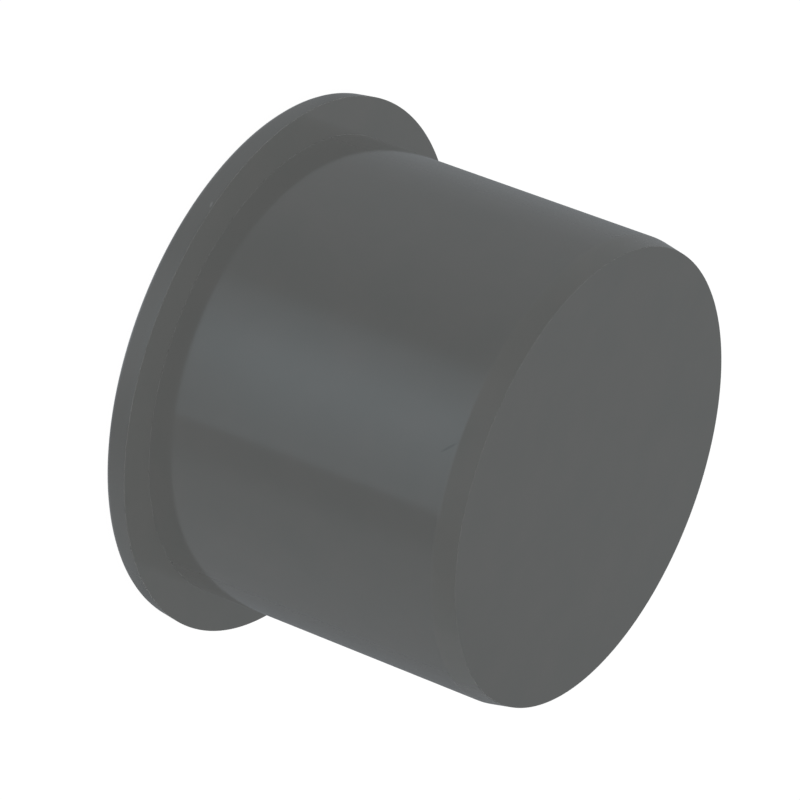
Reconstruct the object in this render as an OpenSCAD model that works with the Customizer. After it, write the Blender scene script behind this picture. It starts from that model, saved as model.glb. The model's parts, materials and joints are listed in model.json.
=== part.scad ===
// Socket plug for a 50 mm grey plastic pipe system.
// One injection-moulded cup: a plain spigot that goes into the pipe socket, a flat closed end
// that goes in first, and a thin flange that stops on the mouth of the socket.
// It stands on its flange. +Z runs along the spigot towards the closed end, and the origin
// is the centre of the open mouth, on the plane of the flange's back face.

/* [Spigot] */
// Outer diameter of the spigot, which is the pipe size that the plug closes
spigot_d = 50; // [40:0.5:110]
// Length of the spigot, from the flange's stop face to the closed end
spigot_len = 37; // [25:0.5:70]
// Length of the lead-in chamfer at the closed end, along the axis
lead_in_len = 2.5; // [1:0.1:5]
// Depth of the lead-in chamfer, along the radius
lead_in_depth = 0.5; // [0.2:0.05:1.2]
// Radius of the edge between the lead-in chamfer and the closed end
end_edge_r = 0.15; // [0.1:0.05:0.6]

/* [Flange] */
// How far the flange stands out from the spigot, along the radius
flange_overhang = 4.15; // [2:0.05:8]
// Thickness of the flange, along the axis
flange_t = 2.8; // [2:0.1:5]
// How much smaller the rim's radius is at the back face than at the stop face
rim_draft = 0.4; // [0:0.05:0.6]
// Radius of the rim's edge at the stop face
stop_edge_r = 0.15; // [0.1:0.05:0.5]
// Radius of the rim's edge at the back face
back_edge_r = 1.0; // [0.2:0.05:1.2]
// Radius of the small fillet between the stop face and the spigot
root_r = 0.1; // [0.1:0.05:0.6]

/* [Hollow] */
// Wall of the spigot at the open mouth, where it is thinnest
wall_t = 1.8; // [1.2:0.1:4]
// Thickness of the closed end
end_t = 2.2; // [1.2:0.1:4]
// Draft of the hollow in degrees, which lets the plug come off its moulding core
core_draft = 0.5; // [0:0.1:1.2]
// Radius of the inner corner between the wall and the closed end
inner_corner_r = 1.6; // [0.5:0.1:3]
// Radius of the inner edge of the mouth
mouth_edge_r = 0.6; // [0.2:0.1:1]

/* [Hidden] */
$fn = 128;
spigot_r = spigot_d / 2;
rim_r = spigot_r + flange_overhang;
plug_h = flange_t + spigot_len;
hollow_h = plug_h - end_t;
// Radius of the hollow at a height above the mouth
function hollow_r(h) = spigot_r - wall_t - h * tan(core_draft);
// How far a shape runs on inside or past the one that it joins or cuts
run_on = 1;
// How far an arc bulges past the sides that it joins, so that it meets them cleanly
arc_bite = 0.0005;

function unit(v) = v / norm(v);

// What is taken off a corner to leave a round edge. Two points say where the corner's sides go.
// The piece's straight sides cross them squarely, at the ends of the arc.
module round_off(corner, point_before, point_after, r) {
    back = unit(point_before - corner);
    on = unit(point_after - corner);
    half_angle = acos(back * on) / 2;
    reach = r / tan(half_angle);
    centre = corner + unit(back + on) * r / sin(half_angle);
    difference() {
        polygon([
            centre,
            centre + 2 * (corner + back * reach - centre),
            centre + 2 * (corner - centre),
            centre + 2 * (corner + on * reach - centre)
        ]);
        translate(centre) circle(r + arc_bite);
    }
}

// An outline with no hollow corner. Each corner is [radius, height, radius of its rounding].
module rounded_outline(corners) {
    count = len(corners);
    points = [for (corner = corners) [corner[0], corner[1]]];
    difference() {
        polygon(points);
        for (i = [0 : count - 1]) {
            point_before = points[(i + count - 1) % count];
            point_after = points[(i + 1) % count];
            if (corners[i][2] > 0) round_off(points[i], point_before, point_after, corners[i][2]);
        }
    }
}

// Half of the flange's section, as a solid disc
module flange_section() {
    rounded_outline([
        [0, 0, 0],
        [rim_r - rim_draft, 0, back_edge_r],
        [rim_r, flange_t, stop_edge_r],
        [0, flange_t, 0]
    ]);
}

// Half of the spigot's section, as a solid bar that starts inside the flange
module spigot_section() {
    start = flange_t - run_on;
    rounded_outline([
        [0, start, 0],
        [spigot_r, start, 0],
        [spigot_r, plug_h - lead_in_len, 0],
        [spigot_r - lead_in_depth, plug_h, end_edge_r],
        [0, plug_h, 0]
    ]);
}

// The fillet that fills the corner between the stop face and the spigot
module root_section() {
    difference() {
        translate([spigot_r - run_on, flange_t - run_on]) square(run_on + root_r);
        translate([spigot_r + root_r, flange_t + root_r]) circle(root_r);
    }
}

// Half of the hollow's section, which is the shape of the moulding core
module hollow_section() {
    rounded_outline([
        [0, -run_on, 0],
        [hollow_r(-run_on), -run_on, 0],
        [hollow_r(hollow_h), hollow_h, inner_corner_r],
        [0, hollow_h, 0]
    ]);
    round_off([hollow_r(0), 0], [hollow_r(hollow_h), hollow_h], [rim_r, 0], mouth_edge_r);
}

// The whole moulding, turned from its section
module plug() {
    color([0.373, 0.380, 0.376])
        rotate_extrude()
            difference() {
                union() {
                    flange_section();
                    spigot_section();
                    root_section();
                }
                hollow_section();
            }
}

plug();
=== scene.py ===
# %% [markdown]
# # A socket plug of moulded grey plastic
#
# The real object is one injection moulding: a plain spigot that slides into a 50 mm pipe socket,
# a flat end that closes the pipe, a thin flange that stops on the socket's mouth, and a hollow
# behind it all that the moulding core left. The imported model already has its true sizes, so the
# scene starts from that frame and never moves it. Everything here is in metres, with +Z along the
# spigot and the origin in the middle of the open mouth, on the floor.

# %% Load the frame
import math
import json
import bmesh
import bpy
from mathutils import Euler, Matrix, Vector


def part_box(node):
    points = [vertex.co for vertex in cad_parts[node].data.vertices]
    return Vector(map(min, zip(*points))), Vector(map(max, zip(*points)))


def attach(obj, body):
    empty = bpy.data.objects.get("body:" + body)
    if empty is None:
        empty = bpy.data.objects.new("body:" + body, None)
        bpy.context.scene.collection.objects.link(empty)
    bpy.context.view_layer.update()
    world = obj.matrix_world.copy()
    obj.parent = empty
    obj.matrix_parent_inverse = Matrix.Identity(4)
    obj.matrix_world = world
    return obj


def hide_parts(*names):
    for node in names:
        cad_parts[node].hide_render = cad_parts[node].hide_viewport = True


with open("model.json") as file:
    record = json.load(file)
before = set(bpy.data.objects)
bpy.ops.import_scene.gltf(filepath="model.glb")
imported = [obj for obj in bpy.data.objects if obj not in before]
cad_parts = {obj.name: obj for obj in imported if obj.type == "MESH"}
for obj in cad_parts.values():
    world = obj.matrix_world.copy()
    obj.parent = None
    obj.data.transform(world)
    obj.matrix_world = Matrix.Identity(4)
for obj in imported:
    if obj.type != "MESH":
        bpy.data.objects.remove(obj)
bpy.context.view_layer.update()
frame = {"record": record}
MM = 0.001

low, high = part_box("plug")
plug_height = high.z - low.z
rim_radius = (high.x - low.x) / 2
mounts = {mount["name"]: mount for mount in frame["record"]["mounts"]}
spigot_radius = mounts["spigot"]["dims"]["r_mm"] * MM
flange_thickness = mounts["stop_face"]["pos_m"][2]
print(f"plug {plug_height / MM:.1f} mm high, with radii of {rim_radius / MM:.2f} mm at the rim "
      f"and {spigot_radius / MM:.1f} mm on the spigot")

# %% [markdown]
# ## The camera
#
# The photograph looks at the plug from a long way off: the ellipses of the spigot's two ends are
# nearly the same shape. The spigot's axis tips out of the picture towards the viewer, and on the
# paper it points right and a little down. So the camera first swings up from the floor about X,
# and then rolls about its own line of sight. The plug's place is given as the camera sees it,
# which is how it was measured: so far right, so far up, and so far away.

# %% Set the camera
IMAGE_SIDE = 800
FOCAL_LENGTH_PIXELS = 6159
SENSOR_WIDTH_MM = 36
AXIS_FROM_LINE_OF_SIGHT = math.radians(61.572)
AXIS_BELOW_HORIZONTAL = math.radians(20.681)
MOUTH_SEEN_FROM_CAMERA = Vector((-13.41, 4.445, -639.35)) * MM

swing = Matrix.Rotation(AXIS_FROM_LINE_OF_SIGHT, 4, "X")
roll = Matrix.Rotation(math.radians(90) + AXIS_BELOW_HORIZONTAL, 4, "Z")
lens = bpy.data.cameras.new("photo_lens")
lens.sensor_width = SENSOR_WIDTH_MM
lens.lens = FOCAL_LENGTH_PIXELS / IMAGE_SIDE * SENSOR_WIDTH_MM
camera = bpy.data.objects.new("photo_camera", lens)
camera.matrix_world = swing @ roll @ Matrix.Translation(-MOUTH_SEEN_FROM_CAMERA)
bpy.context.scene.collection.objects.link(camera)
bpy.context.scene.camera = camera
print(f"lens {lens.lens:.0f} mm, camera {camera.matrix_world.translation.length:.3f} m from the mouth")

# %% [markdown]
# ## The section of the moulding
#
# Everything on this plug is round about one axis, because its steel mould was turned on a lathe.
# It could be made by stacking cylinders and joining them, but then every edge would be a seam to
# mend. A turned part is drawn as half of its section, once, and swept round. The section starts
# with sharp corners only. Each corner carries the radius that the mould has there: tiny where two
# parts of the mould meet, and generous inside, where hot plastic has to flow round. The tiny ones
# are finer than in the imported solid, because the photograph shows no highlight on those edges.

# %% List the corners of the section
LEAD_IN_LENGTH = 2.5 * MM
LEAD_IN_DEPTH = 0.5 * MM
RIM_DRAFT = 0.4 * MM
WALL_AT_MOUTH = 1.8 * MM
END_THICKNESS = 2.2 * MM
CORE_DRAFT = math.radians(0.5)
END_EDGE_ROUND = 0.06 * MM
CREASE_ROUND = 2.0 * MM
ROOT_ROUND = 0.05 * MM
STOP_EDGE_ROUND = 0.06 * MM
BACK_EDGE_ROUND = 1.0 * MM
MOUTH_EDGE_ROUND = 0.6 * MM
INNER_CORNER_ROUND = 1.6 * MM

hollow_height = plug_height - END_THICKNESS
mouth_radius = spigot_radius - WALL_AT_MOUTH
hollow_end_radius = mouth_radius - hollow_height * math.tan(CORE_DRAFT)

# Each corner is radius, height and rounding, from the middle of the closed end
# round the outside to the middle of the hollow's ceiling.
section_corners = [
    (0, plug_height, 0),
    (spigot_radius - LEAD_IN_DEPTH, plug_height, END_EDGE_ROUND),
    (spigot_radius, plug_height - LEAD_IN_LENGTH, CREASE_ROUND),
    (spigot_radius, flange_thickness, ROOT_ROUND),
    (rim_radius, flange_thickness, STOP_EDGE_ROUND),
    (rim_radius - RIM_DRAFT, 0, BACK_EDGE_ROUND),
    (mouth_radius, 0, MOUTH_EDGE_ROUND),
    (hollow_end_radius, hollow_height, INNER_CORNER_ROUND),
    (0, hollow_height, 0),
]
print(f"{len(section_corners)} corners, hollow {hollow_height / MM:.1f} mm deep")

# %% [markdown]
# The arcs in the corners could be worked out point by point. The bevel operator does that by
# itself: it cuts a corner off at a given reach and puts an arc there. An arc starts at its radius
# divided by the tangent of half the corner's angle, measured along the sides. All those reaches
# are worked out before the first cut, because a cut moves the corner that its neighbours need.

# %% Draw the section and round its corners
ARC_SEGMENTS = 6


def draw_section(corners):
    """A wire of straight edges in the XZ plane, with each corner then bevelled to its rounding."""
    mesh = bmesh.new()
    wire = [mesh.verts.new((radius, 0, height)) for radius, height, _ in corners]
    for start, end in zip(wire, wire[1:]):
        mesh.edges.new((start, end))
    reaches = []
    for before, here, after, (_, _, rounding) in zip(wire, wire[1:], wire[2:], corners[1:]):
        half_angle = (before.co - here.co).angle(after.co - here.co) / 2
        reaches.append(rounding / math.tan(half_angle))
    for vertex, reach in zip(wire[1:-1], reaches):
        bmesh.ops.bevel(mesh, geom=[vertex], affect="VERTICES", offset=reach, offset_type="OFFSET",
                        segments=ARC_SEGMENTS, profile=0.5, material=-1)
    return mesh


section = draw_section(section_corners)
print(f"section of {len(section.verts)} vertices")

# %% [markdown]
# Spinning the section round the axis does what the lathe did to the mould, and 256 steps keep
# the outline smooth close up. Both ends of the section lie on the axis, where the spin leaves a
# vertex for every step. At each end they are merged into one, and then all faces are turned
# outwards.

# %% Spin the section into the moulding
TURN_STEPS = 256
WELD_DISTANCE = 0.001 * MM

bmesh.ops.spin(section, geom=section.verts[:] + section.edges[:], cent=(0, 0, 0), axis=(0, 0, 1),
               dvec=(0, 0, 0), angle=math.tau, steps=TURN_STEPS, use_merge=True)
bmesh.ops.remove_doubles(section, verts=section.verts[:], dist=WELD_DISTANCE)
bmesh.ops.recalc_face_normals(section, faces=section.faces[:])
for face in section.faces:
    face.smooth = True
plug_mesh = bpy.data.meshes.new("plug_moulding")
section.to_mesh(plug_mesh)
open_edges = sum(len(edge.link_faces) != 2 for edge in section.edges)
plug_volume = section.calc_volume() / MM**3
section.free()
plug = bpy.data.objects.new("plug_moulding", plug_mesh)
bpy.context.scene.collection.objects.link(plug)
print(f"{len(plug_mesh.polygons)} faces, {open_edges} open edges, {plug_volume:.0f} cubic mm")

# %% [markdown]
# The long faces have to look flat right up to the tiny arcs beside them. Ordinary smooth shading
# averages the normals at each vertex, and that would smear each arc across the whole flat end.
# A Weighted Normal modifier lets the large faces decide, so that only the arcs bend the light.

# %% Keep the flat faces flat in the light
# At 50 each face counts by its area, and at 100 the largest one at a vertex decides.
LARGEST_FACES_ALONE = 100

weights = plug.modifiers.new("large_faces_decide", "WEIGHTED_NORMAL")
weights.mode = "FACE_AREA"
weights.weight = LARGEST_FACES_ALONE
print(f"modifier {weights.name} on {plug.name}")

# %% [markdown]
# ## Helpers for materials
#
# Colours are written as the eye meets them on a screen, in sRGB hex, and the shader wants them
# linear, so one function turns the one into the other. One more adds a node: what it is given
# under an input's name is a value, or the output of another node, which it links. A whole node
# stands for its first output, which is nearly always the one that is meant.

# %% Colour and node helpers
def colour(hex_code):
    """An sRGB hex colour such as "#808080" as a linear RGBA tuple, by the curve of that standard."""
    channels = [int(hex_code[i:i + 2], 16) / 255 for i in (1, 3, 5)]
    linear = [c / 12.92 if c <= 0.04045 else ((c + 0.055) / 1.055) ** 2.4 for c in channels]
    return (*linear, 1.0)


def add_node(tree, kind, inputs=None, **settings):
    """Add one node, set its own settings, and fill or link its inputs by name or number."""
    node = tree.nodes.new(kind)
    for name, value in settings.items():
        setattr(node, name, value)
    for name, value in (inputs or {}).items():
        if isinstance(value, bpy.types.Node):
            value = value.outputs[0]
        if isinstance(value, bpy.types.NodeSocket):
            tree.links.new(value, node.inputs[name])
        else:
            node.inputs[name].default_value = value
    return node


def new_material(name):
    """An empty node material, ready for a shader, and its node tree."""
    material = bpy.data.materials.new(name)
    material.use_nodes = True
    material.node_tree.nodes.clear()
    return material, material.node_tree


print(f"mid grey #808080 is {colour('#808080')[0]:.3f} linear")

# %% [markdown]
# ## The grey of the plastic
#
# The plug is rigid grey PVC, which waste pipe is made of too. The pigment goes all the way
# through, so there is no paint or layer to model. Close up it is a little uneven, in patches of
# a few millimetres where the melt folded as it filled the mould. Two greys and a noise of that
# size are enough for it, because they differ by so little that the eye sees one even grey.

# %% Mix the pigment into the plastic
GREY = "#525453"
GREY_PALER = "#575756"
PIGMENT_PATCH = 6 * MM
PIGMENT_DETAIL = 3.0
PIGMENT_DETAIL_SHARE = 0.6

plastic, tree = new_material("injection_moulded_grey_pvc")
place = add_node(tree, "ShaderNodeTexCoord").outputs["Object"]
pigment = add_node(tree, "ShaderNodeTexNoise",
                   {"Vector": place, "Scale": 1 / PIGMENT_PATCH,
                    "Detail": PIGMENT_DETAIL, "Roughness": PIGMENT_DETAIL_SHARE})
grey = add_node(tree, "ShaderNodeMix",
                {"Factor": pigment, "A": colour(GREY), "B": colour(GREY_PALER)},
                data_type="RGBA").outputs["Result"]
print(f"pigment from {GREY} to {GREY_PALER} in patches of {PIGMENT_PATCH / MM:.0f} mm")

# %% [markdown]
# ## Two marks of use
#
# Two marks are plain enough to be noticed: a short shallow scratch by the lead-in, and a pale
# speck on the rim. They could be painted on a picture that wraps the plug, but a picture is a
# lot of baggage for two marks. So each is a small ellipsoid, placed and turned in the object's
# own space, and the plastic takes the mark's grey where its surface passes through it.

# %% Put the scratch and the speck on the plastic
SCRATCH_GREY = "#4a4c4b"
SCRATCH_MIDDLE = (2.08 * MM, -24.91 * MM, 36.46 * MM)
SCRATCH_TURN = (0, math.radians(-134.3), math.radians(4.8))
SCRATCH_HALF_SIZE = (1.15 * MM, 0.3 * MM, 0.16 * MM)
SPECK_GREY = "#646665"
SPECK_MIDDLE = (-12.20 * MM, -26.43 * MM, 2.45 * MM)
SPECK_TURN = (0, math.radians(-14.9), math.radians(-27.9))
SPECK_HALF_SIZE = (0.45 * MM, 0.3 * MM, 0.17 * MM)
SOLID_SHARE = 0.5

for mark_grey, middle, turn, half_size in (
        (SCRATCH_GREY, SCRATCH_MIDDLE, SCRATCH_TURN, SCRATCH_HALF_SIZE),
        (SPECK_GREY, SPECK_MIDDLE, SPECK_TURN, SPECK_HALF_SIZE)):
    local = add_node(tree, "ShaderNodeMapping",
                     {"Vector": place, "Location": middle, "Rotation": turn, "Scale": half_size},
                     vector_type="TEXTURE")
    ball = add_node(tree, "ShaderNodeTexGradient", {"Vector": local}, gradient_type="SPHERICAL")
    # The gradient falls evenly to the ellipsoid's skin, so the mark is solid up to half way out.
    mark = add_node(tree, "ShaderNodeMapRange",
                    {"Value": ball.outputs["Fac"], "From Max": SOLID_SHARE})
    grey = add_node(tree, "ShaderNodeMix", {"Factor": mark, "A": grey, "B": colour(mark_grey)},
                    data_type="RGBA").outputs["Result"]
print(f"scratch {2 * SCRATCH_HALF_SIZE[0] / MM:.1f} mm long, speck {2 * SPECK_HALF_SIZE[0] / MM:.1f} mm")

# %% [markdown]
# ## The skin of the plastic
#
# It was injection-moulded against polished steel, and the steel leaves a skin that is smooth but
# not a mirror: a soft sheen, in which reflections keep fairly clear edges. It has a faint orange
# peel, half a millimetre from dimple to dimple, and handling has made it slightly duller in
# places. Rigid PVC bends light at about 1.53, and 1.50 came closest to the photograph's sheen.

# %% Give the plastic its skin
PLASTIC_IOR = 1.50
PEEL_DIMPLE = 0.5 * MM
PEEL_DEPTH = 0.0004 * MM
PEEL_DETAIL = 2.0
HANDLING_PATCH = 9 * MM
HANDLING_DETAIL = 4.0
ROUGHNESS_FRESH = 0.11
ROUGHNESS_HANDLED = 0.15
LEAST_HANDLED, MOST_HANDLED = 0.35, 0.7

handling = add_node(tree, "ShaderNodeTexNoise",
                    {"Vector": place, "Scale": 1 / HANDLING_PATCH, "Detail": HANDLING_DETAIL})
dullness = add_node(tree, "ShaderNodeMapRange",
                    {"Value": handling, "From Min": LEAST_HANDLED, "From Max": MOST_HANDLED,
                     "To Min": ROUGHNESS_FRESH, "To Max": ROUGHNESS_HANDLED})
peel = add_node(tree, "ShaderNodeTexNoise",
                {"Vector": place, "Scale": 1 / PEEL_DIMPLE, "Detail": PEEL_DETAIL})
skin = add_node(tree, "ShaderNodeBump", {"Height": peel, "Distance": PEEL_DEPTH, "Strength": 1.0})
shader = add_node(tree, "ShaderNodeBsdfPrincipled",
                  {"Base Color": grey, "Roughness": dullness, "Normal": skin, "IOR": PLASTIC_IOR})
add_node(tree, "ShaderNodeOutputMaterial", {"Surface": shader})
plug.data.materials.append(plastic)
print(f"{plastic.name}: {len(tree.nodes)} nodes, roughness {ROUGHNESS_FRESH} to {ROUGHNESS_HANDLED}")

# %% [markdown]
# ## The piece and its solid
#
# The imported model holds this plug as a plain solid. The dressed mesh takes that solid's place on
# the same body, so that nothing is drawn twice.

# %% Let the moulding stand for its solid
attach(plug, "root")
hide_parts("plug")
print(f"{plug.name} rides on root and stands for plug")

# %% [markdown]
# ## The floor
#
# The photograph's ground is plain white, so the floor and the world are white to the eye and to
# anything that mirrors them. A floor that only glowed would lose the plug's shadow, so the glow
# is laid over a matt paint that the plug still shades. That shadow is only a hint, because the
# photograph shows none. To the plug itself the floor is a dark board: a white one would light
# the spigot from below, but not its foot, which the flange hides from the floor, and the
# photograph shows no such difference.

# %% Lay the floor
FLOOR_SIDE = 8.0
FLOOR_GLOW = 0.99
FLOOR_MATT = "#2c2c2c"


def white_to_the_eye(tree):
    """1 for rays that show a surface directly, mirrored or through glass, and 0 for the rest."""
    path = add_node(tree, "ShaderNodeLightPath")
    seen = path.outputs["Is Camera Ray"]
    for other_ray in ("Is Glossy Ray", "Is Transmission Ray"):
        seen = add_node(tree, "ShaderNodeMath", {0: seen, 1: path.outputs[other_ray]},
                        operation="MAXIMUM")
    return seen


floor_paint, tree = new_material("matt_floor_paint")
matt = add_node(tree, "ShaderNodeBsdfDiffuse", {"Color": colour(FLOOR_MATT)})
strength = add_node(tree, "ShaderNodeMath", {0: white_to_the_eye(tree), 1: FLOOR_GLOW},
                    operation="MULTIPLY")
glow = add_node(tree, "ShaderNodeEmission", {"Color": colour("#ffffff"), "Strength": strength})
both = add_node(tree, "ShaderNodeAddShader", {0: matt, 1: glow})
add_node(tree, "ShaderNodeOutputMaterial", {"Surface": both})

shape = bmesh.new()
bmesh.ops.create_grid(shape, x_segments=1, y_segments=1, size=FLOOR_SIDE / 2)
floor_mesh = bpy.data.meshes.new("floor")
shape.to_mesh(floor_mesh)
shape.free()
floor = bpy.data.objects.new("floor", floor_mesh)
floor.data.materials.append(floor_paint)
bpy.context.scene.collection.objects.link(floor)
print(f"floor {FLOOR_SIDE:.0f} m square")

# %% [markdown]
# ## The card that the plug mirrors
#
# A smooth dark thing is drawn by what it mirrors. The plug shows one pale band along the spigot
# with a crisp lower edge, and is otherwise evenly grey, so it stood over a bright strip with
# darker ground on each side of it. A lamp could not give that without lighting the rest too.
# So a round card on the floor has the pattern in its glow: a near pattern for the spigot, a far
# one for the lead-in, which looks further out, the strip on top of both, and one right at the
# foot, where only the rim looks. Each is a brightness over angles, which a colour ramp blends.

# %% Say how bright the card is
PLAIN_TINT = (0.94, 1.0, 1.06)
STRIP_TINT = (0.82, 1.02, 1.16)

# Degrees round the spigot from the front, towards +X, and the brightness that is mirrored there.
near_glow = [(-90, 0.20), (-80, 0.24), (-75, 0.285), (-65, 0.33), (-55, 0.36), (-50, 0.41),
             (-40, 0.455), (-30, 0.41), (-22, 0.33), (22, 0.30), (27, 0.30), (33, 0.47),
             (40, 0.46), (50, 0.425), (60, 0.32), (70, 0.25), (80, 0.195), (90, 0.16)]
far_glow = [(-90, 0.16), (-80, 0.142), (-70, 0.09), (-60, 0.05), (-50, 0.05), (-30, 0),
            (33, 0), (50, 0.065), (60, 0.02), (70, 0.055), (80, 0.16), (90, 0.15)]
strip_glow = [(-90, 0), (-15.8, 0), (-12, 0.30), (-10, 0.40), (-2, 0.77), (3, 0.80), (7, 0.67),
              (16, 0.42), (19.6, 0.40), (20.8, 0), (90, 0)]
# Degrees round the plug on the floor itself, and the brightness there.
foot_glow = [(-180, 0.15), (-74, 0.21), (-63, 0.33), (-52, 0.44), (-42, 0.51), (-31, 0.58),
             (-16, 0.57), (-10, 0.69), (0, 0.86), (5, 0.87), (10, 0.80), (16, 0.66), (21, 0.53),
             (26, 0.47), (42, 0.49), (52, 0.41), (63, 0.31), (74, 0.18), (180, 0.15)]


def tinted(brightness, tint=PLAIN_TINT):
    """A brightness in the faintly blue tint of what the plug mirrors."""
    return (*(brightness * channel for channel in tint), 1)


def glow_by_angle(tree, angle, stops, tint=PLAIN_TINT):
    """The card's tinted brightness over an angle, blended between the given stops."""
    first, last = stops[0][0], stops[-1][0]
    share = add_node(tree, "ShaderNodeMapRange",
                     {"Value": angle, "From Min": math.radians(first), "From Max": math.radians(last)})
    ramp = add_node(tree, "ShaderNodeValToRGB", {"Fac": share})
    elements = ramp.color_ramp.elements
    for degrees, _ in stops[1:-1]:
        elements.new((degrees - first) / (last - first))
    for element, (_, brightness) in zip(elements, stops):
        element.color = tinted(brightness, tint)
    return ramp


print(f"strip up to {max(brightness for _, brightness in strip_glow)} bright, "
      f"its surround up to {max(brightness for _, brightness in near_glow)}")

# %% [markdown]
# The card has to know, for each spot of itself, which line along the spigot mirrors that spot to
# the front. A line at an angle mirrors along twice that angle, but it starts from its own place
# on the round spigot and not from the axis. So the line can't be written down in one go: the
# card guesses it, corrects the guess for where that line starts, and does so once more.

# %% Find the line that mirrors each spot
FIRST_GUESS_SHARE = 0.7
GUESS_ROUNDS = 2


def mirroring_line(tree, around, from_axis):
    """The angle round the spigot of the line that mirrors this spot of the floor to the front."""
    line = add_node(tree, "ShaderNodeMath", {0: around, 1: FIRST_GUESS_SHARE}, operation="MULTIPLY")
    for _ in range(GUESS_ROUNDS):
        sine = add_node(tree, "ShaderNodeMath", {0: line}, operation="SINE")
        start = add_node(tree, "ShaderNodeMath", {0: sine, 1: spigot_radius}, operation="MULTIPLY")
        slope = add_node(tree, "ShaderNodeMath", {0: start, 1: from_axis}, operation="DIVIDE")
        lean = add_node(tree, "ShaderNodeMath", {0: slope}, operation="ARCSINE")
        twice = add_node(tree, "ShaderNodeMath", {0: around, 1: lean}, operation="ADD")
        line = add_node(tree, "ShaderNodeMath", {0: twice, 1: 0.5}, operation="MULTIPLY")
    return line


card_paint, tree = new_material("painted_floor_card")
place = add_node(tree, "ShaderNodeTexCoord").outputs["Object"]
axes = add_node(tree, "ShaderNodeSeparateXYZ", {"Vector": place})
# The front of the plug looks towards -Y, so that way is ahead.
ahead = add_node(tree, "ShaderNodeMath", {0: axes.outputs["Y"], 1: -1.0}, operation="MULTIPLY")
around = add_node(tree, "ShaderNodeMath", {0: axes.outputs["X"], 1: ahead}, operation="ARCTAN2")
from_axis = add_node(tree, "ShaderNodeVectorMath", {0: place}, operation="LENGTH").outputs["Value"]
line = mirroring_line(tree, around, from_axis)
print(f"mirroring line found in {GUESS_ROUNDS} rounds")

# %% [markdown]
# The four patterns share the floor by their distance from the axis. They could be four rings of
# card, but the plastic would mirror the edge of each ring as a line. So they are one paint, in
# which each pattern gives way to the next over a stretch of floor.

# %% Paint the floor card
# All of these reaches are distances from the axis, and the shares are parts of the full strip.
NEAR_REACH = 0.10
FAR_REACH = 0.30
STRIP_FAR_SHARE = 0.12
STRIP_START = 34 * MM
STRIP_GROWN = 50 * MM
STRIP_START_SHARE = 0.75
FOOT_REACH = 31 * MM
FOOT_FADED = 32 * MM

far_off = add_node(tree, "ShaderNodeMapRange",
                   {"Value": from_axis, "From Min": NEAR_REACH, "From Max": FAR_REACH})
strip_fades = add_node(tree, "ShaderNodeMapRange",
                       {"Value": far_off, "To Min": 1.0, "To Max": STRIP_FAR_SHARE})
strip_grows = add_node(tree, "ShaderNodeMapRange",
                       {"Value": from_axis, "From Min": STRIP_START, "From Max": STRIP_GROWN,
                        "To Min": STRIP_START_SHARE, "To Max": 1.0})
strip_share = add_node(tree, "ShaderNodeMath", {0: strip_fades, 1: strip_grows}, operation="MULTIPLY")
at_foot = add_node(tree, "ShaderNodeMapRange",
                   {"Value": from_axis, "From Min": FOOT_REACH, "From Max": FOOT_FADED,
                    "To Min": 1.0, "To Max": 0.0})
pattern = glow_by_angle(tree, line, near_glow)
for share, layer, how in ((far_off, glow_by_angle(tree, line, far_glow), "MIX"),
                          (strip_share, glow_by_angle(tree, line, strip_glow, STRIP_TINT), "ADD"),
                          (at_foot, glow_by_angle(tree, around, foot_glow), "MIX")):
    pattern = add_node(tree, "ShaderNodeMix", {"Factor": share, "A": pattern, "B": layer},
                       data_type="RGBA", blend_type=how).outputs["Result"]
glow = add_node(tree, "ShaderNodeEmission", {"Color": pattern, "Strength": 1.0})
add_node(tree, "ShaderNodeOutputMaterial", {"Surface": glow})
print(f"card pattern of {len(tree.nodes)} nodes")

# %% [markdown]
# ## The tent over it
#
# The closed end and the flange's stop face lie level and mirror what is behind the plug, above
# the horizon. They are evenly grey, a shade paler on the left, so nothing bright or dark stood
# there. A tent of grey cloth does that: it glows evenly, with a soft step from left to right.

# %% Paint the tent
TENT_GLOW = 0.18
TENT_GLOW_LEFT = 0.29
TENT_TURN = math.radians(8)

tent_cloth, tree = new_material("grey_tent_cloth")
place = add_node(tree, "ShaderNodeTexCoord").outputs["Object"]
axes = add_node(tree, "ShaderNodeSeparateXYZ", {"Vector": place})
sideways = add_node(tree, "ShaderNodeMath", {0: axes.outputs["X"], 1: axes.outputs["Y"]},
                    operation="ARCTAN2")
leftness = add_node(tree, "ShaderNodeMapRange",
                    {"Value": sideways, "From Min": -TENT_TURN, "From Max": TENT_TURN,
                     "To Min": 1.0, "To Max": 0.0})
cloth = add_node(tree, "ShaderNodeMix",
                 {"Factor": leftness, "A": tinted(TENT_GLOW), "B": tinted(TENT_GLOW_LEFT)},
                 data_type="RGBA").outputs["Result"]
glow = add_node(tree, "ShaderNodeEmission", {"Color": cloth, "Strength": 1.0})
add_node(tree, "ShaderNodeOutputMaterial", {"Surface": glow})
print(f"{tent_cloth.name} glows {TENT_GLOW} to {TENT_GLOW_LEFT}")

# %% [markdown]
# The card and the tent are there to be mirrored and for nothing else. The eye, the shadows and
# the soft light pass through them, and they take no part in lighting the plug, so the pattern
# can be dark or bright without changing how the plastic is lit.

# %% Set up the card and the tent
CARD_RADIUS = 2.0
# The card lies a hair above the floor, so that the two never share a plane.
CARD_LIFT = 0.02 * MM
CARD_SIDES = 64
TENT_RADIUS = 1.9
TENT_SUBDIVISIONS = 4


def add_reflector(name, shape, material):
    """Make a stage piece that only reflections can meet."""
    mesh = bpy.data.meshes.new(name)
    shape.to_mesh(mesh)
    shape.free()
    mesh.materials.append(material)
    material.cycles.emission_sampling = "NONE"
    reflector = bpy.data.objects.new(name, mesh)
    bpy.context.scene.collection.objects.link(reflector)
    reflector.visible_camera = False
    reflector.visible_diffuse = False
    reflector.visible_shadow = False
    reflector.visible_transmission = False


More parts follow.
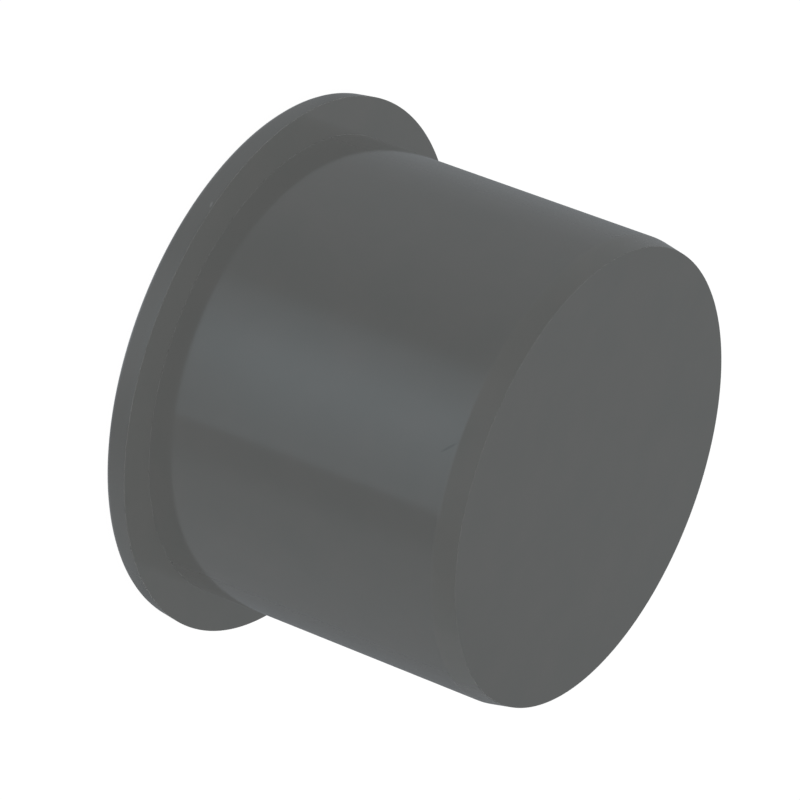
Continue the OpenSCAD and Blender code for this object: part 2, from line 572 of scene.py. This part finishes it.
shape = bmesh.new()
bmesh.ops.create_circle(shape, cap_ends=True, segments=CARD_SIDES, radius=CARD_RADIUS)
bmesh.ops.translate(shape, verts=shape.verts[:], vec=(0, 0, CARD_LIFT))
add_reflector("floor_card", shape, card_paint)
shape = bmesh.new()
bmesh.ops.create_icosphere(shape, subdivisions=TENT_SUBDIVISIONS, radius=TENT_RADIUS)
bmesh.ops.bisect_plane(shape, geom=shape.verts[:] + shape.edges[:] + shape.faces[:],
                       plane_co=(0, 0, 0), plane_no=(0, 0, 1), clear_inner=True)
add_reflector("tent", shape, tent_cloth)
print("card and tent are met by reflections alone")

# %% [markdown]
# ## The light
#
# In the photograph the corner between the spigot and the flange is as pale as the rest, and the
# closed end and the round side are alike too. Light from all over would leave that corner dark.
# So the upright surfaces get theirs from a ring of low boxes that look in over the flange. The
# level ones get theirs from a lamp straight overhead, narrow enough to reach the flange right
# up to the spigot. The room adds a little from every side. Together they are set so that a matt
# surface returns its own colour.

# %% Give the room a little light
ROOM_LIGHT = 0.10

room = bpy.data.worlds.new("pale_room")
room.use_nodes = True
bpy.context.scene.world = room
tree = room.node_tree
tree.nodes.clear()
level = add_node(tree, "ShaderNodeMapRange",
                 {"Value": white_to_the_eye(tree), "To Min": ROOM_LIGHT, "To Max": 1.0})
air = add_node(tree, "ShaderNodeBackground", {"Color": colour("#ffffff"), "Strength": level})
add_node(tree, "ShaderNodeOutputWorld", {"Surface": air})
print(f"room at {ROOM_LIGHT}")

# %% [markdown]
# One large light would leave the far side of the plug dark, and the photograph shows both sides
# alike. So ten equal boxes stand round it, a few degrees up, just enough to look in over the
# flange. They stay out of the reflections, which belong to the card and the tent.

# %% Stand the low boxes round the plug
BOX_DISTANCE = 1.0
RING_ELEVATION = math.radians(5)
RING_BOXES = 10
RING_STEP = 360 // RING_BOXES
RING_POWER = 3.0
BOX_WIDTH, BOX_HEIGHT = 0.5, 0.16

for degrees in range(-180 + RING_STEP // 2, 180, RING_STEP):
    light = bpy.data.lights.new(f"ring_box_{degrees}", "AREA")
    light.shape = "RECTANGLE"
    light.size, light.size_y = BOX_WIDTH, BOX_HEIGHT
    light.energy = RING_POWER
    away = Vector((0, -math.cos(RING_ELEVATION), math.sin(RING_ELEVATION)))
    away.rotate(Euler((0, 0, math.radians(degrees))))
    box = bpy.data.objects.new(light.name, light)
    box.location = away * BOX_DISTANCE
    box.rotation_euler = away.to_track_quat("Z", "Y").to_euler()
    box.visible_glossy = False
    bpy.context.scene.collection.objects.link(box)
print(f"{RING_BOXES} boxes of {RING_POWER} W")

# %% [markdown]
# The lamp overhead could be a soft box too, but the edge of its shadow would draw a dark line
# where the spigot meets the flange. So it is a sun with a very narrow disc, whose light comes
# straight down and reaches that corner whole. It stays out of the reflections as well.

# %% Hang the lamp overhead
OVERHEAD_STRENGTH = 2.78
OVERHEAD_SPREAD = math.radians(0.3)

overhead = bpy.data.lights.new("overhead_lamp", "SUN")
overhead.energy = OVERHEAD_STRENGTH
overhead.angle = OVERHEAD_SPREAD
overhead_lamp = bpy.data.objects.new("overhead_lamp", overhead)
overhead_lamp.visible_glossy = False
bpy.context.scene.collection.objects.link(overhead_lamp)
bpy.context.scene.view_settings.view_transform = "Standard"
print(f"overhead lamp of strength {OVERHEAD_STRENGTH}")
